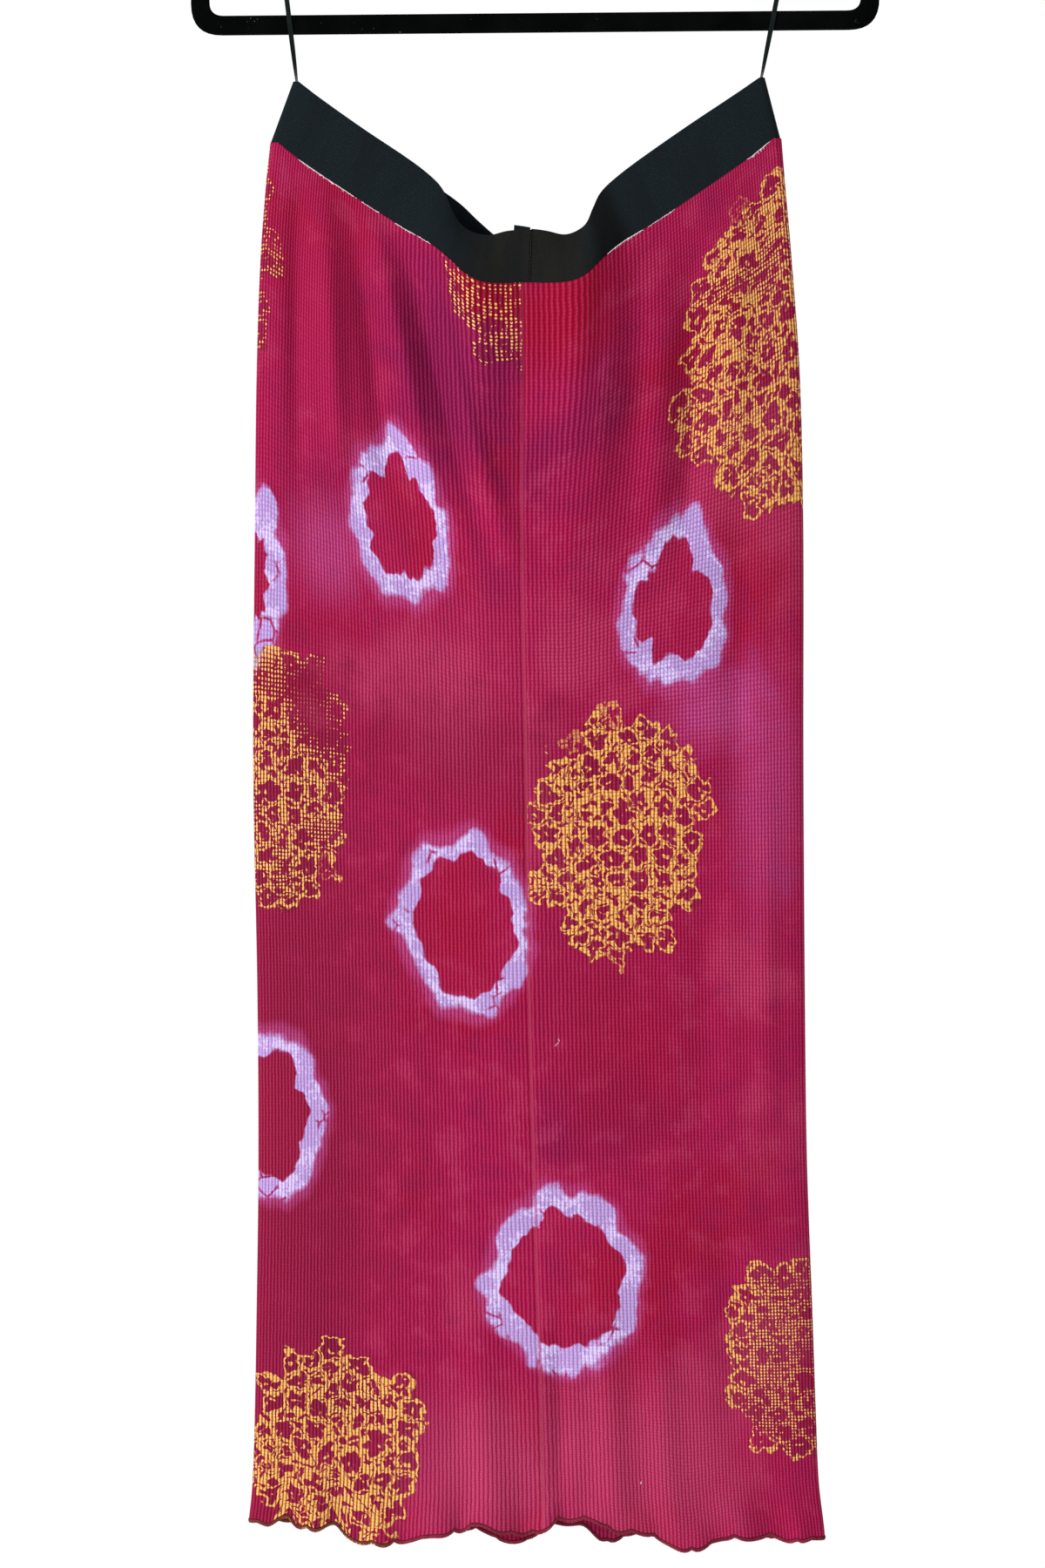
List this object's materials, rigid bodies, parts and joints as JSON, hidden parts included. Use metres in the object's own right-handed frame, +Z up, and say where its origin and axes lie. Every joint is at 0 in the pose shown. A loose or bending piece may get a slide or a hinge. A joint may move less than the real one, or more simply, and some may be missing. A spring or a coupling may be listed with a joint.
{
  "type": "tube skirt on clothes hanger",
  "caption": "Long straight tube skirt of waffle knit with a wide elastic waistband, hanging by two ribbon loops from a slim flocked clothes hanger with a metal hook.",
  "frame": {"origin": "where a rod bears, on the inside top of the hanger's hook", "axes": "+X to the right seen from the front, +Y from the skirt's front to its back, +Z up"},
  "size_m": [0.445, 0.064, 1.2152],
  "materials": {
    "waffle_knit": "matt raspberry waffle knit, tie-dyed and printed",
    "elastic": "matt black woven elastic",
    "ribbon": "black satin ribbon",
    "flock": "black flocking on moulded plastic",
    "hook_steel": "bright plated wire"
  },
  "bodies": {
    "root": {"hanger_frame": "flock", "hanger_hook": "hook_steel", "hanger_loop_left": "ribbon", "hanger_loop_right": "ribbon", "waistband": "elastic", "waistband_join": "elastic", "skirt_body": "waffle_knit"}
  },
  "joints": []
}
